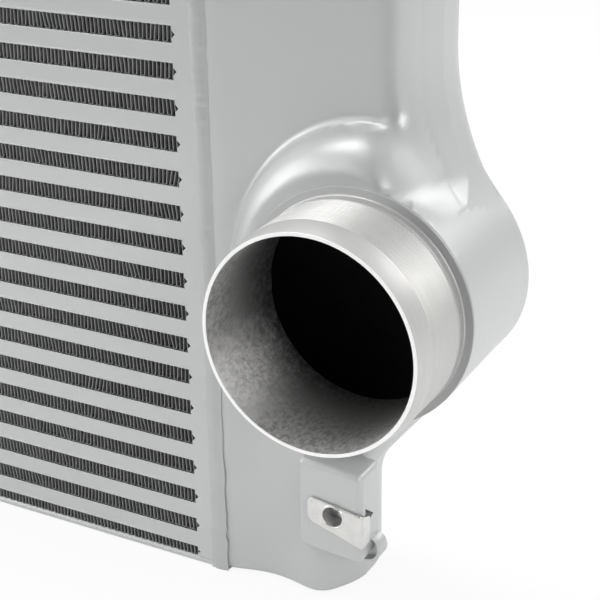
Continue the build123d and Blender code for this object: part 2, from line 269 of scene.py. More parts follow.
def tank_distance(place):
    """How far a place is outside the tank: a rounded slab, less the hollow beside the column and a faint one
    along the weld, joined to the dome and the drum, which are faced off at one plane, and cut off at the
    two ends. The drum and the lines that run into it hang a little lower towards the back."""
    x, y, z = place[..., 0], place[..., 1], place[..., 2]
    height = z - drum_z
    lean_fade = np.exp(-(height / np.where(height > 0, lean_above, lean_below)) ** 2)
    lean = drum_lean * share(y, -drum_front, lean_depth) * lean_fade
    outline = outline_distance(x, z + lean)
    rise = share(height, 0, nose_rise) * share(-y, -nose_turn / 2, nose_turn)
    slab = crossed(outline, np.abs(y) - half_depth, edge_radius - (edge_radius - nose_radius) * eased(rise))
    hollow = np.hypot(x - hollow_x, y - hollow_y + hollow_slope * z) - hollow_radius
    trough = trough_depth * np.exp(-((x - seam_x - trough_middle) / trough_width) ** 2)
    slab = trough - joined(-slab, hollow, hollow_blend)
    reach = np.hypot(x - drum_x, height)
    sideways = (x - drum_x) / np.maximum(reach, 1.0)
    narrow = (dome_narrow_left * np.maximum(-sideways, 0) ** 2
              + dome_narrow_right * eased(share(sideways, dome_turn_start, dome_turn)))
    dome = crossed(reach - dome_middle + narrow - dome_radius, -y - dome_depth - dome_radius, dome_radius)
    dome = crossed(crossed(dome, y + dome_back, dome_back_radius), outline + dome_inset, dome_side_radius)
    taper = (drum_radius - drum_back_radius) * (y + drum_front) / drum_taper
    side = np.hypot(x - drum_x, height + lean) - drum_radius + taper
    drum = crossed(crossed(side, y - half_depth, edge_radius), -y - drum_front, drum_edge)
    blend = dome_blend + dome_blend_more * share(x, drum_x, dome_blend_width)
    body = joined(slab, crossed(dome, -y - drum_front, dome_edge), blend)
    body = crossed(body, outline, nose_blend * share(-y, nose_blend_start, nose_blend_depth))
    blend = drum_blend + drum_blend_more * share(x, drum_x + drum_blend_start, drum_blend_width)
    body = np.maximum(joined(body, drum, blend), np.minimum(outline, side))
    body = np.maximum(body, np.maximum(y - half_depth, -y - drum_front))
    return crossed(body, np.maximum(-z, z - tank_height), end_radius)


def outline_points(count):
    """Height and reach of the front view's right side, at equal steps along its lines and circles."""
    turn = np.arctan2(upper_z - drum_z, upper_x - drum_x)
    lap = np.linspace(0, 1, 400)
    x = np.concatenate([[column_x], lower_x - flare_lower * np.cos(lap * slope),
                        drum_x + drum_back_radius * np.cos(lap * (turn + slope) - slope),
                        upper_x - flare_upper * np.cos(turn * (1 - lap)), [nose_x]])
    z = np.concatenate([[0], lower_z + flare_lower * np.sin(lap * slope),
                        drum_z + drum_back_radius * np.sin(lap * (turn + slope) - slope),
                        upper_z - flare_upper * np.sin(turn * (1 - lap)), [tank_height]])
    run = np.concatenate([[0], np.cumsum(np.hypot(np.diff(x), np.diff(z)))])
    steps = np.linspace(0, run[-1], count)
    return np.interp(steps, run, z), z, x


line_depth, line_inset, line_span, line_fade, ray_length = 5.4, 20.0, 64.0, 40.0, 45.0
front_steps, corner_steps, side_steps, back_steps, halvings = 52, 14, 14, 34, 34


def tank_sheet(heights, depth, fold):
    """Points of the tank's skin, inset by depth: from a line inside the tank, rays go out square to a rounded
    rectangle round each level, and each ray is halved down to where the distance changes its sign. The
    fold rows at both ends then run in from the skin to that line, which closes the ends."""
    _, outline_z, outline_x = outline_points(2)
    reach = np.interp(heights, outline_z, outline_x)[:, None]
    near_drum = share(line_span - np.abs(heights - drum_z), 0, line_fade)[:, None]
    front = line_depth + drum_rise * near_drum ** 0.5
    corner = reach - line_inset - seam_x
    run = np.linspace(0, 1, front_steps)[None]
    arc = np.linspace(0, np.pi / 2, corner_steps)[None, 1:]
    side = np.linspace(0, 1, side_steps)[None, 1:]
    back = np.linspace(1, 0, back_steps)[None, 1:]
    x = seam_x + np.concatenate([corner * run, corner + 0 * arc, corner + 0 * side, corner + 0 * arc,
                                 corner * back], 1)
    y = np.concatenate([0 * run - front, 0 * arc - front, (front + line_depth) * side - front,
                        line_depth + 0 * arc + 0 * front, line_depth + 0 * back + 0 * front], 1)
    turn = np.concatenate([0 * run, arc, np.pi / 2 + 0 * side, np.pi / 2 + arc, np.pi + 0 * back], 1)
    turn = turn + 0 * front
    start = np.stack([x, y, heights[:, None] + 0 * x], -1)
    way = np.stack([np.sin(turn), -np.cos(turn), 0 * turn], -1)
    near, far = np.zeros_like(x), np.full_like(x, ray_length)
    for _ in range(halvings):
        half = (near + far) / 2
        inside = tank_distance(start + half[..., None] * way) < -depth
        near, far = np.where(inside, half, near), np.where(inside, far, half)
    skin = start + near[..., None] * way
    lap = np.linspace(0, 1, fold, endpoint=False)[:, None, None]
    middle = start * [1, 0, 1]
    return np.concatenate([middle[:1] + (skin[:1] - middle[:1]) * lap, skin,
                           middle[-1:] + (skin[-1:] - middle[-1:]) * lap[::-1]])


def grid_faces(rows, columns, closed=False):
    """Quads between neighbouring points of a grid, with the last column joined to the first when closed."""
    step = np.arange(columns if closed else columns - 1)
    right = (step + 1) % columns
    row = np.arange(rows - 1)[:, None] * columns
    return np.stack([row + step, row + right, row + columns + right, row + columns + step], -1).reshape(-1, 4)


def closed_mesh(name, points, faces, dissolve):
    """A mesh of points in millimetres and faces. Points that meet are merged, edges with no length go where
    dissolve says so, and the faces are turned outwards."""
    mesh = bpy.data.meshes.new(name)
    mesh.from_pydata((points.reshape(-1, 3) / 1000).tolist(), [], faces.tolist())
    shaped = bmesh.new()
    shaped.from_mesh(mesh)
    bmesh.ops.remove_doubles(shaped, verts=shaped.verts, dist=2e-6)
    if dissolve:
        bmesh.ops.dissolve_degenerate(shaped, edges=shaped.edges, dist=1e-7)
    bmesh.ops.recalc_face_normals(shaped, faces=shaped.faces)
    shaped.to_mesh(mesh)
    shaped.free()
    return mesh


def mesh_piece(name, points, faces, material, slot, angle=35.0):
    """A mesh object that rides on the cooler, smooth but for its edges over the angle."""
    mesh = closed_mesh(name, points, faces, True)
    mesh.shade_smooth()
    mesh.set_sharp_from_angle(angle=radians(angle))
    mesh.materials.append(material)
    piece = bpy.data.objects.new(name, mesh)
    scene.collection.objects.link(piece)
    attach(piece, "root")
    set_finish(piece, slot)
    return piece


def mirror_piece(piece, name):
    """The same piece at the cooler's other end: x is changed in sign and the faces are turned back."""
    mesh = piece.data.copy()
    mesh.name = name
    places = np.empty(len(mesh.vertices) * 3)
    mesh.vertices.foreach_get("co", places)
    mesh.vertices.foreach_set("co", (places.reshape(-1, 3) * [-1, 1, 1]).ravel())
    mesh.flip_normals()
    other = bpy.data.objects.new(name, mesh)
    scene.collection.objects.link(other)
    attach(other, "root")
    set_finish(other, piece["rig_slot"])
    return other


def start_finish(name):
    """A new material, its nodes, and the Object coordinates that its patterns read."""
    material = bpy.data.materials.new(name)
    shader = Shader(material)
    return material, shader, shader.node("TexCoord", {}, {}, 3)


def end_finish(shader, colour, metallic, roughness, relief, strength, distance):
    """Ends a material in one metal or paint surface, with its relief as a bump."""
    bump = shader.node("Bump", {}, {"Height": relief, "Strength": strength, "Distance": distance})
    shader.end("OutputMaterial", shader.node("BsdfPrincipled", {}, {
        "Base Color": colour, "Metallic": metallic, "Roughness": roughness, "Normal": bump}))


def silver_paint(name, casting, tone_and_painted_shade):
    """Satin silver paint: metal flake that changes slightly from place to place, a faint orange-peel skin,
    and under it the grain of the sand casting where there is one. The last argument darkens it: a little as
    the paint's own tone on the casting and the bars, more on a weld as painted shade."""
    material, paint, place = start_finish(name)
    cloud = paint.noise(place, 28.0, 3.0)
    flake = paint.noise(place, 5200.0, 1.0)
    peel = paint.noise(place, 620.0, 2.0)
    grain = paint.noise(place, 190.0, 4.0, 0.6)
    tone = paint.mixed(cloud, (0.545, 0.560, 0.560, 1), (0.615, 0.628, 0.626, 1))
    colour = paint.mixed(flake * 0.35, tone, (0.66, 0.67, 0.67, 1))
    # Darkening by the last argument: the paint's own tone on casting and bars, painted shade on the weld.
    colour = paint.mixed(tone_and_painted_shade + 0.1 * cloud, colour, (0.20, 0.205, 0.21, 1))
    end_finish(paint, colour, 0.35, 0.34 + 0.10 * peel - 0.04 * cloud, peel * 0.25 + grain * casting,
               0.35, 0.0002)
    return material


hole_radius, hole_margin, hole_back = 36.9, 0.8, -20.0


def drilled_shell(outer, inner):
    """Points and faces of the tank's two skins. Cells inside the neck's hole go from both, the points round
    it are set on the hole's circle, and a strip of faces joins the skins there and along the seam."""
    rows, columns = outer.shape[:2]
    skins = np.stack([outer, inner])
    reach = np.hypot(outer[..., 0] - drum_x, outer[..., 2] - drum_z)
    in_hole = (reach < hole_radius + hole_margin) & (outer[..., 1] < hole_back)
    cell_open = in_hole[:-1, :-1] & in_hole[1:, :-1] & in_hole[:-1, 1:] & in_hole[1:, 1:]
    touch_open = np.zeros((rows, columns), bool)
    touch_kept = touch_open.copy()
    for down in (0, 1):
        for along in (0, 1):
            part = (slice(down, rows - 1 + down), slice(along, columns - 1 + along))
            touch_open[part] |= cell_open
            touch_kept[part] |= ~cell_open
    rim = touch_open & touch_kept
    for skin in skins:
        away = skin[rim][:, [0, 2]] - [drum_x, drum_z]
        away *= hole_radius / np.linalg.norm(away, axis=1, keepdims=True)
        skin[rim] = np.stack([drum_x + away[:, 0], skin[rim][:, 1], drum_z + away[:, 1]], -1)
    index = np.arange(rows * columns).reshape(rows, columns)
    beside = cell_open[:, :-1] != cell_open[:, 1:]
    above = cell_open[:-1] != cell_open[1:]
    edges = np.concatenate([
        np.stack([index[:-1, 1:-1][beside], index[1:, 1:-1][beside]], -1),
        np.stack([index[1:-1, :-1][above], index[1:-1, 1:][above]], -1),
        np.stack([index[:-1, 0], index[1:, 0]], -1),
        np.stack([index[:-1, -1], index[1:, -1]], -1)])
    kept = grid_faces(rows, columns)[~cell_open.ravel()]
    inside = rows * columns
    joining = np.stack([edges[:, 0], edges[:, 1], edges[:, 1] + inside, edges[:, 0] + inside], -1)
    return skins.reshape(-1, 3), np.concatenate([kept, kept + inside, joining])


level_count, end_steps, fold_rows, level_gap, hair = 225, 6, 6, 0.8, 0.0004
end_rows = end_radius * (1 - np.cos(np.linspace(0, np.pi / 2, end_steps)))
levels, _, _ = outline_points(level_count)
levels = levels[(levels > end_radius + level_gap) & (levels < tank_height - end_radius - level_gap)]
levels = np.concatenate([end_rows, levels, (tank_height - end_rows)[::-1]])
outer_skin = tank_sheet(np.clip(levels, hair, tank_height - hair), 0.0, fold_rows)
inner_skin = tank_sheet(wall + levels * (tank_height - 2 * wall) / tank_height, wall, fold_rows)
cast_paint = silver_paint("silver_paint_on_casting", 0.35, 0.08)
tank_right = mesh_piece("tank_shell_right", *drilled_shell(outer_skin, inner_skin), cast_paint,
                        "silver_paint")


def skin_normals(piece, step=0.02, least_match=0.4):
    """Sets each corner's normal to the distance's steepest way out, where its face lies along the skin."""
    mesh = piece.data
    places = np.empty(len(mesh.vertices) * 3)
    mesh.vertices.foreach_get("co", places)
    places = places.reshape(-1, 3) * 1000
    steepest = np.stack([tank_distance(places + way) - tank_distance(places - way)
                         for way in np.eye(3) * step], -1)
    steepest /= np.maximum(np.linalg.norm(steepest, axis=1, keepdims=True), 1e-9)
    corners = np.empty(len(mesh.loops), int)
    mesh.loops.foreach_get("vertex_index", corners)
    flat = np.empty(len(mesh.polygons) * 3)
    mesh.polygons.foreach_get("normal", flat)
    sizes = np.empty(len(mesh.polygons), int)
    mesh.polygons.foreach_get("loop_total", sizes)
    flat = np.repeat(flat.reshape(-1, 3), sizes, axis=0)
    steepest = steepest[corners]
    match = (steepest * flat).sum(1, keepdims=True)
    chosen = np.where(np.abs(match) > least_match, steepest * np.sign(match), flat)
    mesh.normals_split_custom_set(chosen.tolist())


def raw_casting_in_painted_shade(name):
    """Bare inside of the casting, matt, with the sand's grain, and coloured nearly black as painted shade."""
    material, raw, place = start_finish(name)
    grain = raw.noise(place, 350.0, 4.0, 0.6)
    colour = raw.mixed(grain, (0.05, 0.05, 0.05, 1), (0.10, 0.098, 0.096, 1))
    end_finish(raw, colour, 0.2, 0.75 + 0.15 * grain, grain, 0.4, 0.0003)
    return material


skin_normals(tank_right)
centres = np.empty(len(tank_right.data.polygons) * 3)
tank_right.data.polygons.foreach_get("center", centres)
within = tank_distance(centres.reshape(-1, 3) * 1000) < -wall / 2
# Painted shade: faces inside the wall get the nearly black inside material.
tank_right.data.materials.append(raw_casting_in_painted_shade("raw_casting_in_painted_shade"))
tank_right.data.polygons.foreach_set("material_index", within.astype(int))
tank_left = mirror_piece(tank_right, "tank_shell_left")
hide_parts("end_tank_right")
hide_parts("end_tank_left")

# ---------------------------------------------------------------------------------------------------------
# Hose necks: the casting turned on a lathe and left unpainted, with a tapered lead-in, fine grip grooves
# round the middle, a plain band at the root and the faced ring round it.

bore_radius, rim_radius, neck_radius = 35.6, 36.95, 38.1
rim_y, taper_y, groove_start_y, groove_end_y = -76.2, -68.2, -67.6, -47.2
groove_count, groove_depth, points_in_groove = 21, 0.2, 4
ring_radius, ring_y, root_radius, root_steps = 41.05, -43.36, 0.7, 6
neck_around = 168


def lathe(profile, axis, around):
    """A closed profile of radius and depth carried round an axis that runs from front to back."""
    angle = np.linspace(0, 2 * np.pi, around, endpoint=False)[:, None]
    radius, depth = profile[:, 0], profile[:, 1] + 0 * angle
    return np.stack([axis[0] + radius * np.cos(angle), depth, axis[1] + radius * np.sin(angle)], -1)


def ring_faces(rings, points):
    """Faces of a closed profile carried all the way round: both ways of the grid join up."""
    ring, point = np.arange(rings)[:, None], np.arange(points)
    next_ring, next_point = (ring + 1) % rings, (point + 1) % points
    corners = [ring * points + point, ring * points + next_point, next_ring * points + next_point,
               next_ring * points + point]
    return np.stack(corners, -1).reshape(-1, 4)


def neck_profile():
    """Radius and depth from the hidden end out along the bore, over the rim, down the taper, through the
    square grooves and the plain band, and round the hollow root to the faced ring."""
    hidden_end = [[37.6, -32.4], [35.8, -34.2]]
    bore = [[bore_radius, depth] for depth in (-34.8, -45.0, -60.0, rim_y + 0.35)]
    rim = [[bore_radius + 0.1, rim_y + 0.08], [bore_radius + 0.25, rim_y], [rim_radius - 0.3, rim_y],
           [rim_radius - 0.1, rim_y + 0.06], [rim_radius, rim_y + 0.3]]
    taper_foot = [[neck_radius - 0.06, taper_y - 0.3], [neck_radius, taper_y + 0.2]]
    point = np.arange(groove_count * points_in_groove)
    cut = np.where(point % points_in_groove < points_in_groove // 2, 0.0, groove_depth)
    along = (point + 0.5) / (groove_count * points_in_groove)
    grooves = np.stack([neck_radius - cut, groove_start_y + (groove_end_y - groove_start_y) * along], -1)
    plain_band = [[neck_radius, groove_end_y], [neck_radius, -45.2]]
    bend = np.linspace(0, np.pi / 2, root_steps)
    root = np.stack([neck_radius + root_radius * (1 - np.cos(bend)),
                     ring_y - root_radius * (1 - np.sin(bend))], -1)
    faced_ring = [[ring_radius - 0.1, ring_y], [ring_radius, ring_y + 0.1], [ring_radius, -42.2],
                  [38.6, -36.0]]
    return np.concatenate([hidden_end, bore, rim, taper_foot, grooves, plain_band, root, faced_ring])


def drawn_noise(shader, place, scale, detail, rough=0.5, turned=(0.0, 0.0, 0.0)):
    """Noise drawn out into lines: the smaller its scale along an axis, the longer its marks are that way."""
    drawn = shader.node("Mapping", {}, {"Vector": place, "Rotation": turned, "Scale": scale})
    return shader.noise(drawn, 1.0, detail, rough)


def turned_metal(name):
    """Bare turned aluminium: rings left by the tool, finer or coarser in patches. The rim's front is painted
    near white as a highlight. The bore has a painted pool of light on its inward side, broken by flecks;
    further in and towards its top it is painted nearly black as shade, and it is rougher. The faced ring
    round the root is painted darker towards and below the neck's outer side, as shade and reflection."""
    material, metal, place = start_finish(name)
    across, depth, height = (metal.axis(place, number) for number in range(3))
    across = metal.node("Math", {"operation": "ABSOLUTE"}, {0: across}) - drum_x / 1000
    height = height - drum_z / 1000
    radius = (across * across + height * height) ** 0.5
    in_bore = metal.ramp(radius, (bore_radius + 0.6) / 1000, (bore_radius + 0.2) / 1000)
    rim_painted_highlight = metal.ramp(depth, (rim_y + 0.25) / 1000, (rim_y + 0.1) / 1000)
    on_ring = metal.ramp(depth, (ring_y - 0.3) / 1000, (ring_y - 0.1) / 1000) * (1 - in_bore)
    # Painted shade and reflection: the faced ring goes darker towards the neck's outer side and below it.
    ring_painted_shade = metal.ramp(across - 0.5 * height, -0.022, 0.012)
    rings = drawn_noise(metal, place, (60.0, 2600.0, 60.0), 3.0, 0.6)
    patch = metal.noise(place, 75.0, 3.0, 0.6)
    stain = metal.noise(place, 210.0, 5.0, 0.75)
    fleck = drawn_noise(metal, place, (900.0, 420.0, 380.0), 4.0, 0.8)
    scratch = drawn_noise(metal, place, (1500.0, 90.0, 260.0), 2.0, turned=(0.5, 0.2, 0.9))
    # Painted light: a near-white pool on the bore's lower inward wall, where light from the upper right
    # falls, broken by flecks.
    from_light_patch = ((across + 0.0285) ** 2 + (height + 0.0195) ** 2 + (0.55 * (depth + 0.0665)) ** 2) ** 0.5
    painted_light_patch = metal.ramp(from_light_patch + 0.016 * (stain - 0.5), 0.020, 0.002)
    # Painted shade: the bore's colour falls to nearly black further in and towards its top.
    painted_bore_shade = metal.ramp(depth + 0.2 * height, -0.082, -0.036)
    tone = metal.mixed(rings, (0.51, 0.507, 0.496, 1), (0.67, 0.665, 0.652, 1))
    tone = metal.mixed(stain * 0.2, tone, (0.40, 0.395, 0.385, 1))
    bore = metal.mixed(painted_bore_shade, (0.52, 0.515, 0.505, 1), (0.06, 0.06, 0.06, 1))
    bore = metal.mixed(0.8 * metal.ramp(fleck, 0.42, 0.62), bore, (0.22, 0.217, 0.213, 1))
    bore = metal.mixed(painted_light_patch * metal.ramp(fleck, 0.34, 0.60, 0.35, 1.0), bore, (0.97, 0.96, 0.945, 1))
    ring = metal.mixed(ring_painted_shade, (0.53, 0.54, 0.54, 1), (0.36, 0.364, 0.364, 1))
    colour = metal.mixed(in_bore, tone, bore)
    colour = metal.mixed(on_ring, colour, ring)
    # Painted highlight: the rim's front is coloured near white and made less metallic.
    colour = metal.mixed(rim_painted_highlight, colour, (0.97, 0.97, 0.96, 1))
    end_finish(metal, colour, 0.6 - 0.5 * rim_painted_highlight - 0.3 * in_bore - 0.25 * on_ring,
               0.36 + 0.16 * patch + 0.1 * in_bore,
               rings * 0.6 + scratch * patch * 0.3 + stain * in_bore * 1.2, 0.35, 0.00014)
    return material


neck_section = neck_profile()
neck_right = mesh_piece("hose_neck_right", lathe(neck_section, (drum_x, drum_z), neck_around),
                        ring_faces(neck_around, len(neck_section)), turned_metal("turned_aluminium"),
                        "silver_paint", 25.0)
mirror_piece(neck_right, "hose_neck_left")

# ---------------------------------------------------------------------------------------------------------
# Brackets: cast in one with the tank under its neck, a block with soft edges whose right part is a free tab
# with a slot behind it and a hole for the screw, and beside it a small lug with a cupped end.

block_low, block_high = (375.75, -30.4, 23.9), (401.3, -14.9, 60.1)
block_edge, block_droop = 2.5, 0.07
slot_low, slot_high, slot_edge = (382.9, -25.4, 29.6), (397.5, -19.9, 47.6), 0.6
mouth_low, mouth_high, mouth_edge = (slot_high[0] - 1.0, slot_low[1], slot_low[2]), (406.0, -23.7, 42.3), 0.4
notch_top, notch_back, notch_foot = (-26.8, 44.9), (-20.2, 39.8), (-26.8, 38.0)
screw_x, screw_z, tab_hole_radius, tab_hole_front, tab_hole_back = 390.5, 41.1, 4.2, -33.0, -24.0
lug_x, lug_z, lug_radius, lug_front, lug_back = 399.2, 24.9, 5.5, -22.4, -14.9
cup_x, cup_z, cup_radius, cup_floor = lug_x - 0.1, lug_z + 0.65, 4.75, -19.9
small_around = 56


def rounded_block(low, high, radius, steps):
    """Six faces of a box, each a grid whose outer steps lean up to 45 degrees; a place is the nearest point
    of the inner box plus the radius in the direction of what is left over, so edges and corners are round."""
    low, high = np.array(low, float), np.array(high, float)
    middle, half = (low + high) / 2, (high - low) / 2
    lean = radius * np.tan(np.linspace(0, np.pi / 4, steps + 1))
    points, faces, count = [], [], 0
    for axis in range(3):
        a, b = (axis + 1) % 3, (axis + 2) % 3
        lines = [np.concatenate([-(half[k] - radius + lean[::-1]), half[k] - radius + lean]) for k in (a, b)]
        grid = np.meshgrid(*lines, indexing="ij")
        for side in (-1, 1):
            place = np.empty(grid[0].shape + (3,))
            place[..., a], place[..., b], place[..., axis] = grid[0], grid[1], side * half[axis]
            inner = np.clip(place, radius - half, half - radius)
            left = place - inner
            place = inner + radius * left / np.linalg.norm(left, axis=-1, keepdims=True)
            points.append((place + middle).reshape(-1, 3))
            faces.append(grid_faces(*grid[0].shape) + count)
            count += grid[0].size
    return np.concatenate(points), np.concatenate(faces)


def cutter(points, faces):
    """A closed shape in millimetres that is only used to cut with."""
    made = bpy.data.objects.new("cutter", closed_mesh("cutter", points, faces, False))
    scene.collection.objects.link(made)
    return made


def carved(piece, cutters, angle=35.0):
    """Cuts the cutters out of a piece for good and takes them away."""
    for tool in cutters:
        cut = piece.modifiers.new("cut", "BOOLEAN")
        cut.operation, cut.object, cut.solver = "DIFFERENCE", tool, "EXACT"
    bpy.context.view_layer.update()
    whole = piece.evaluated_get(bpy.context.evaluated_depsgraph_get())
    mesh = bpy.data.meshes.new_from_object(whole)
    piece.modifiers.clear()
    mesh.name = piece.name
    piece.data = mesh
    mesh.shade_smooth()
    mesh.set_sharp_from_angle(angle=radians(angle))
    for tool in cutters:
        bpy.data.objects.remove(tool)


def round_bar(x, z, radius, front, back, around=40):
    """A plain round bar from front to back."""
    profile = np.array([[0.0, front], [radius, front], [radius, back], [0.0, back]])
    return lathe(profile, (x, z), around), ring_faces(around, 4)


def notch_wedge():
    """A triangle in side view, carried along x through the block's right side."""
    corners = [notch_top, notch_back, notch_foot]
    points = np.array([[x, y, z] for x in (mouth_low[0], mouth_high[0]) for y, z in corners])
    return points, np.array([[0, 1, 4, 3], [1, 2, 5, 4], [2, 0, 3, 5], [0, 2, 1, 1], [3, 4, 5, 5]])


def turned_piece(name, profile, axis, material, slot, angle=35.0):
    """A small piece whose closed profile goes all the way round its axis."""
    profile = np.array(profile)
    return mesh_piece(name, lathe(profile, axis, small_around), ring_faces(small_around, len(profile)),
                      material, slot, angle)


block_points, block_faces = rounded_block(block_low, block_high, block_edge, 5)
block_points[:, 2] -= block_droop * (block_points[:, 0] - (block_low[0] + block_high[0]) / 2)
bracket_right = mesh_piece("bracket_block_right", block_points, block_faces, cast_paint, "silver_paint")
carved(bracket_right, [
    cutter(*rounded_block(slot_low, slot_high, slot_edge, 3)),
    cutter(*rounded_block(mouth_low, mouth_high, mouth_edge, 2)),
    cutter(*notch_wedge()),
    cutter(*round_bar(screw_x, screw_z, tab_hole_radius, tab_hole_front, tab_hole_back))])
mirror_piece(bracket_right, "bracket_block_left")
lug_right = turned_piece("bracket_lug_right", [
    [0, lug_front], [lug_radius - 0.8, lug_front], [lug_radius - 0.25, lug_front + 0.25],
    [lug_radius, lug_front + 0.8], [lug_radius, lug_back - 0.7], [lug_radius - 0.6, lug_back], [0, lug_back]],
    (lug_x, lug_z), cast_paint, "silver_paint")
carved(lug_right, [cutter(*round_bar(cup_x, cup_z, cup_radius, lug_front - 1.6, cup_floor, small_around))])
mirror_piece(lug_right, "bracket_lug_left")

# ---------------------------------------------------------------------------------------------------------
# Clip nuts: a strip of bright plated spring steel folded round the tab's edge, narrower towards its free
# end, with a clear hole in front and a tapped barrel on the hidden leg.

clip_sheet, clip_front_y, clip_back_y, clip_bend = 1.0, -31.05, -24.75, 1.2
clip_fold_x, clip_leg_x, clip_free_x, clip_back_x = 401.95, 400.3, 380.45, 383.95
clip_foot_x, clip_length, clip_half_width, clip_narrowing = 401.45, 21.0, 6.6, 1.7
clip_middle_z, clip_rise, clip_drop = 37.3, 5.0, 0.22
clip_end, clip_end_power, clip_end_draw = 1.9, 1.6, 0.65
clip_hole_radius, barrel_radius, crest_radius, valley_radius = 3.8, 4.6, 2.5, 2.95
clip_front_cut, clip_back_cut = (-33.0, -30.0), (-26.0, -23.0)
thread_points, thread_start, thread_step, barrel_back = 17, -25.3, 0.34, -19.95


def strip_path():
    """Middle line of the folded strip: the front leg, two tight bends round the tab's edge, the back leg."""
    turn = np.linspace(0, np.pi / 2, 6)
    bend_x = clip_fold_x - clip_bend
    first = np.stack([bend_x + clip_bend * np.sin(turn), clip_front_y + clip_bend * (1 - np.cos(turn))], -1)
    second = np.stack([bend_x + clip_bend * np.cos(turn), clip_back_y - clip_bend * (1 - np.sin(turn))], -1)
    front_x = np.concatenate([clip_free_x + np.array([0, 0.15, 0.5, 1.0, 1.7, 2.6]),
                              np.linspace(clip_free_x + 3.9, clip_leg_x, 9)])
    front_leg = np.stack([front_x, np.full_like(front_x, clip_front_y)], -1)
    back_x = np.concatenate([np.linspace(clip_leg_x, clip_back_x + 3.4, 7),
                             clip_back_x + np.array([2.0, 1.0, 0.5, 0.15, 0])])
    back_leg = np.stack([back_x, np.full_like(back_x, clip_back_y)], -1)
    return np.concatenate([front_leg, first, second, back_leg])


def folded_strip():
    """A flat section with rounded edges carried along the path. Its width and height follow how far it is
    from the fold, and both ends draw in over their last millimetres and close."""
    path = strip_path()
    ahead_of = np.gradient(path, axis=0)
    ahead_of /= np.linalg.norm(ahead_of, axis=1, keepdims=True)
    normal = np.stack([ahead_of[:, 1], -ahead_of[:, 0]], -1)
    run = np.concatenate([[0], np.cumsum(np.linalg.norm(np.diff(path, axis=0), axis=1))])
    to_end = np.clip(clip_end - np.minimum(run, run[-1] - run), 0, clip_end)
    away = share(clip_foot_x - path[:, 0], 0, clip_length)
    drop = clip_drop * (path[:, 1] - clip_front_y)
    half_width = clip_half_width - clip_narrowing * away - drop - to_end ** clip_end_power * clip_end_draw
    centre = clip_middle_z + clip_rise * away - drop
    quarter = np.array([[1, 0.6], [0.96, 0.92], [0.9, 1]])
    edge = np.concatenate([[[-1, -0.6]], quarter * [-1, 1], quarter[::-1], quarter * [1, -1],
                           -quarter[:0:-1]])
    up = centre[:, None] + half_width[:, None] * edge[:, 0]
    flat = path[:, None] + normal[:, None] * (clip_sheet / 2 * edge[:, 1])[:, None]
    points = np.concatenate([flat, up[..., None]], -1)
    heart = points.mean(1, keepdims=True)
    points = np.concatenate([heart[:1] + 0 * points[:1], points, heart[-1:] + 0 * points[-1:]])
    return points, grid_faces(len(points), len(edge), closed=True)


def plated_steel(name):
    """Bright zinc plating on spring steel: a clear grey shine with a brushed grain and cloudy patches."""
    material, plate, place = start_finish(name)
    brushed = drawn_noise(plate, place, (160.0, 900.0, 2600.0), 3.0)
    cloud = plate.noise(place, 260.0, 3.0)
    colour = plate.mixed(cloud, (0.62, 0.615, 0.60, 1), (0.80, 0.795, 0.775, 1))
    end_finish(plate, colour, 0.85, 0.2 + 0.2 * cloud, brushed, 0.2, 0.00006)
    return material


screw_axis = (screw_x, screw_z)
clip_plate = plated_steel("bright_plated_steel")
clip_right = mesh_piece("clip_nut_right", *folded_strip(), clip_plate, "plated_steel", 40.0)
carved(clip_right, [cutter(*round_bar(*screw_axis, clip_hole_radius, *clip_front_cut, small_around)),
                    cutter(*round_bar(*screw_axis, valley_radius, *clip_back_cut, small_around))], 40.0)
thread = np.arange(thread_points)
thread_profile = np.stack([np.where(thread % 2 == 0, valley_radius, crest_radius),
                           thread_start + thread * thread_step], -1)
barrel_right = turned_piece("clip_barrel_right", np.concatenate([thread_profile, [
    [3.3, barrel_back], [4.3, barrel_back], [4.55, barrel_back - 0.15], [barrel_radius, barrel_back - 0.45],
    [barrel_radius + 0.1, -23.7], [5.2, -24.3], [5.2, -25.0]]]), screw_axis, clip_plate, "plated_steel")
collar_right = turned_piece("clip_collar_right", [
    [3.82, -30.6], [3.82, -31.6], [3.95, -31.85], [4.2, -31.95], [4.5, -31.85], [4.75, -31.45],
    [4.75, -31.2]], screw_axis, clip_plate, "plated_steel", 50.0)
clip_left = mirror_piece(clip_right, "clip_nut_left")
mirror_piece(barrel_right, "clip_barrel_left")
mirror_piece(collar_right, "clip_collar_left")
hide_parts("clip_nuts")
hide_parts("clip_nuts")

# ---------------------------------------------------------------------------------------------------------
# Weld beads: one pass of weld round each seam between core and tank, dressed flush above and below, with
# its soft ripples under the paint.

bead_left, bead_right, bead_middle, bead_crown, bead_most = 334.9, 341.9, 338.3, 0.75, 0.48
bead_sink, bead_deep, bead_step, bead_steps = 0.12, 1.6, 0.9, 13
ripple_pitch, ripple_depth, wander_step, wander_width = 3.3, 0.28, 3.1, 0.22


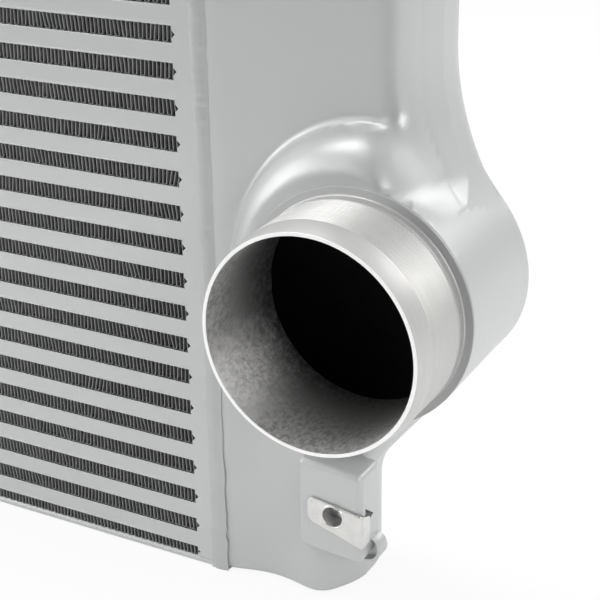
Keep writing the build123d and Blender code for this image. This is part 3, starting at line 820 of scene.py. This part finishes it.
def weld_bead():
    """A low arch carried round the seam's rectangle. Ripples change its height and both edges wander."""
    rng = np.random.default_rng(7)
    corners = np.array([[-half_depth, 0.0], [-half_depth, tank_height], [half_depth, tank_height],
                        [half_depth, 0.0]])
    outward = np.array([[-1.0, 0.0], [0.0, 1.0], [1.0, 0.0], [0.0, -1.0]])
    path, normal, crown = [], [], []
    for side in range(4):
        start, stop = corners[side], corners[(side + 1) % 4]
        count = int(np.abs(stop - start).sum() / bead_step)
        path.append(start + (stop - start) * np.linspace(0, 1, count)[:, None])
        normal.append(np.repeat(outward[side][None], count, 0))
        crown.append(np.full((count, 1), float(side % 2 == 0)))
    path, normal, crown = np.concatenate(path), np.concatenate(normal), np.concatenate(crown)
    run = np.concatenate([[0], np.cumsum(np.linalg.norm(np.diff(path, axis=0), axis=1))])
    knots = np.arange(0, run[-1] + 6, wander_step)
    wander = [np.interp(run, knots, rng.normal(0, wander_width, len(knots)))[:, None] for _ in range(3)]
    pace = (run + 0.7 * np.interp(run, knots, rng.normal(0, 1, len(knots))))[:, None]
    ripple = 1 - ripple_depth * np.abs(np.sin(pace * np.pi / ripple_pitch)) + 0.5 * wander[0]
    across_bead = np.linspace(0, 1, bead_steps)
    arch = np.sin(np.pi * across_bead ** 0.85) ** 1.5
    low, high = bead_left + wander[1], bead_right + wander[2]
    x = low + (high - low) * across_bead
    swell = np.minimum(bead_crown * ripple * arch - bead_sink, bead_most)
    height = crown * swell - 0.02 * (1 - crown)
    top = np.stack([x, path[:, :1] + normal[:, :1] * height, path[:, 1:] + normal[:, 1:] * height], -1)
    deep = np.concatenate([np.full_like(crown, bead_middle), path - bead_deep * normal], 1)[:, None]
    points = np.concatenate([top, deep], 1)
    points[..., 2] = np.clip(points[..., 2], 0.0, tank_height)
    return points, ring_faces(len(points), points.shape[1])


# Painted shade: the weld's paint is darkened more than the casting's.
weld_paint = silver_paint("silver_paint_on_weld", 0.9, 0.2)
weld_right = mesh_piece("weld_right", *weld_bead(), weld_paint, "silver_paint", 60.0)
weld_left = mirror_piece(weld_right, "weld_left")
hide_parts("weld_bead_right")
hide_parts("weld_bead_left")

# ---------------------------------------------------------------------------------------------------------
# Cooling fins: thin strip folded up and down some 400 times in each row and brazed between two tubes. The
# folds lean here and there where the stack was pressed together.

fin_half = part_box("fin_row_02")[1][0] * 1000
fold_pitch, fin_sheet, fin_front, fin_end = 1.65, 0.3, -25.0, 0.35
fold_corner, most_lean = 0.32, 0.55


def slow_noise(rng, count, step, spread):
    """Noise drawn once every few folds and run straight from one to the next."""
    knots = np.arange(0, count + step, step)
    return np.interp(np.arange(count), knots, rng.normal(0, spread, len(knots)))


def folded_fins(foot, head, seed):
    """The strip's middle line goes up one wall and down the next, four points to a wall with its corners
    cut. Each wall's foot and head are moved by slow noise, the line is offset both ways for the sheet's
    thickness, and the section is drawn from front to back."""
    rng = np.random.default_rng(seed)
    count = int(round(2 * fin_half / fold_pitch))
    walls = np.arange(count)
    x = -fin_half + fin_end + 2 * (fin_half - fin_end) * walls / (count - 1)
    slow = slow_noise(rng, count, 9, 0.16)
    pushed = slow_noise(rng, count, 3, 1)
    lean = slow + 0.12 * np.sign(pushed) * pushed ** 2 + rng.normal(0, 0.05, count)
    lean = np.clip(lean, -most_lean, most_lean)
    feet, heads = x - lean, x + lean
    low, high = foot + fin_sheet / 2, head - fin_sheet / 2
    up = walls % 2 == 0
    start, stop = np.where(up, feet, heads), np.where(up, heads, feet)
    start_z, stop_z = np.where(up, low, high), np.where(up, high, low)
    cut = np.where(up, fold_corner, -fold_corner)
    line_x = np.stack([start - fold_corner, start, stop, stop + fold_corner], -1).ravel()
    line_z = np.stack([start_z, start_z + cut, stop_z - cut, stop_z], -1).ravel()
    line = np.stack([line_x, line_z], -1)
    line[0, 0], line[-1, 0] = max(line[0, 0], -fin_half), min(line[-1, 0], fin_half)
    ahead_of = np.gradient(line, axis=0)
    ahead_of /= np.linalg.norm(ahead_of, axis=1, keepdims=True)
    offset = np.stack([-ahead_of[:, 1], ahead_of[:, 0]], -1) * fin_sheet / 2
    section = np.concatenate([line + offset, (line - offset)[::-1]])
    total, half = len(section), len(line)
    points = np.concatenate([np.stack([section[:, 0], np.full(total, depth), section[:, 1]], -1)
                             for depth in (fin_front, -fin_front)])
    ring = np.arange(total)
    around = np.stack([ring, (ring + 1) % total, (ring + 1) % total + total, ring + total], -1)
    step = np.arange(half - 1)
    face = np.stack([step, step + 1, total - 2 - step, total - 1 - step], -1)
    return points, np.concatenate([around, face, face + total])


def bare_strip(name):
    """Dull bare fin strip: each few folds differ a little in tone, and it is darker where flux stays."""
    material, strip, place = start_finish(name)
    bands = drawn_noise(strip, place, (330.0, 20.0, 60.0), 2.0)
    stain = strip.noise(place, 420.0, 3.0, 0.6)
    colour = strip.mixed(bands, (0.22, 0.225, 0.225, 1), (0.44, 0.445, 0.44, 1))
    colour = strip.mixed(stain * 0.4, colour, (0.10, 0.10, 0.10, 1))
    end_finish(strip, colour, 0.4, 0.45 + 0.2 * stain, stain, 0.3, 0.0001)
    return material


fin_metal = bare_strip("bare_fin_strip")
for number in range(1, 27):
    node = f"fin_row_{number:02d}"
    low_corner, high_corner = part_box(node)
    row = mesh_piece(f"fins_{number:02d}", *folded_fins(low_corner[2] * 1000, high_corner[2] * 1000, number),
                     fin_metal, "bare_fin", 50.0)
    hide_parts(node)

# ---------------------------------------------------------------------------------------------------------
# Charge tubes: flat tubes of two parting sheets and two long bars, brazed in one and painted. The sheets'
# edges stand a hair proud of the bars, unevenly, and catch the light.

bar_paint = silver_paint("silver_paint_on_bars", 0.25, 0.02)
proud_sheets = [2 * tube - 2 for tube in (3, 8, 13, 16, 21, 24)]
edge_stations, edge_knots, edge_overrun, edge_half = 130, 14, 0.6, 0.36
edge_least, edge_uneven, edge_proud, edge_most, edge_at_ends = 0.07, 0.07, 0.28, 0.48, 0.05


def sheet_edges(levels_z, front, seed):
    """One rounded lip for each parting sheet: a small section carried along the core, its reach changed by
    slow and quick noise."""
    rng = np.random.default_rng(seed)
    run = np.linspace(-fin_half - edge_overrun, fin_half + edge_overrun, edge_stations)
    section = np.array([[0.5, -edge_half], [-0.02, -edge_half], [-0.75, -0.25], [-1.0, 0.0], [-0.75, 0.25],
                        [-0.02, edge_half], [0.5, edge_half]])
    points, faces, count = [], [], 0
    for number, level_z in enumerate(levels_z):
        slow = np.interp(np.arange(edge_stations), np.arange(edge_knots) * 10,
                         rng.uniform(0.2, 1, edge_knots))
        quick = np.abs(rng.normal(0, 1, edge_stations))
        reach_out = edge_least + edge_uneven * quick * slow + edge_proud * slow * (number in proud_sheets)
        reach_out = np.minimum(reach_out, edge_most)
        reach_out[-4:] = edge_at_ends
        reach_out[:4] = edge_at_ends
        y = front + np.sign(front) * np.where(section[:, 0] < 0, -section[:, 0] * reach_out[:, None],
                                              -section[:, 0] + 0 * reach_out[:, None])
        z = level_z + section[:, 1] + 0 * reach_out[:, None]
        lip = np.stack([run[:, None] + 0 * y, y, z], -1)
        heart = lip.mean(1, keepdims=True)
        lip = np.concatenate([heart[:1] + 0 * lip[:1], lip, heart[-1:] + 0 * lip[-1:]])
        points.append(lip.reshape(-1, 3))
        faces.append(grid_faces(len(lip), len(section), closed=True) + count)
        count += len(lip) * len(section)
    return np.concatenate(points), np.concatenate(faces)


sheet_levels = []
for number in range(1, 26):
    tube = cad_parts[f"charge_tube_{number:02d}"]
    tube.data.materials.clear()
    tube.data.materials.append(bar_paint)
    low_corner, high_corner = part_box(tube.name)
    sheet_levels += [low_corner[2] * 1000 + edge_half, high_corner[2] * 1000 - edge_half]
for word, front in (("front", -half_depth), ("back", half_depth)):
    mesh_piece(f"parting_sheet_edges_{word}", *sheet_edges(sheet_levels, front, 11), bar_paint,
               "silver_paint", 60.0)

# ---------------------------------------------------------------------------------------------------------
# Closing bars: short bars that shut both ends of every cooling row, with a V groove towards the fins, and
# the two side plates above and below the stack. All painted with the rest.

for node in ("closing_bars_right", "closing_bars_left", "side_plate_bottom", "side_plate_top"):
    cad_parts[node].data.materials.clear()
    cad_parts[node].data.materials.append(bar_paint)
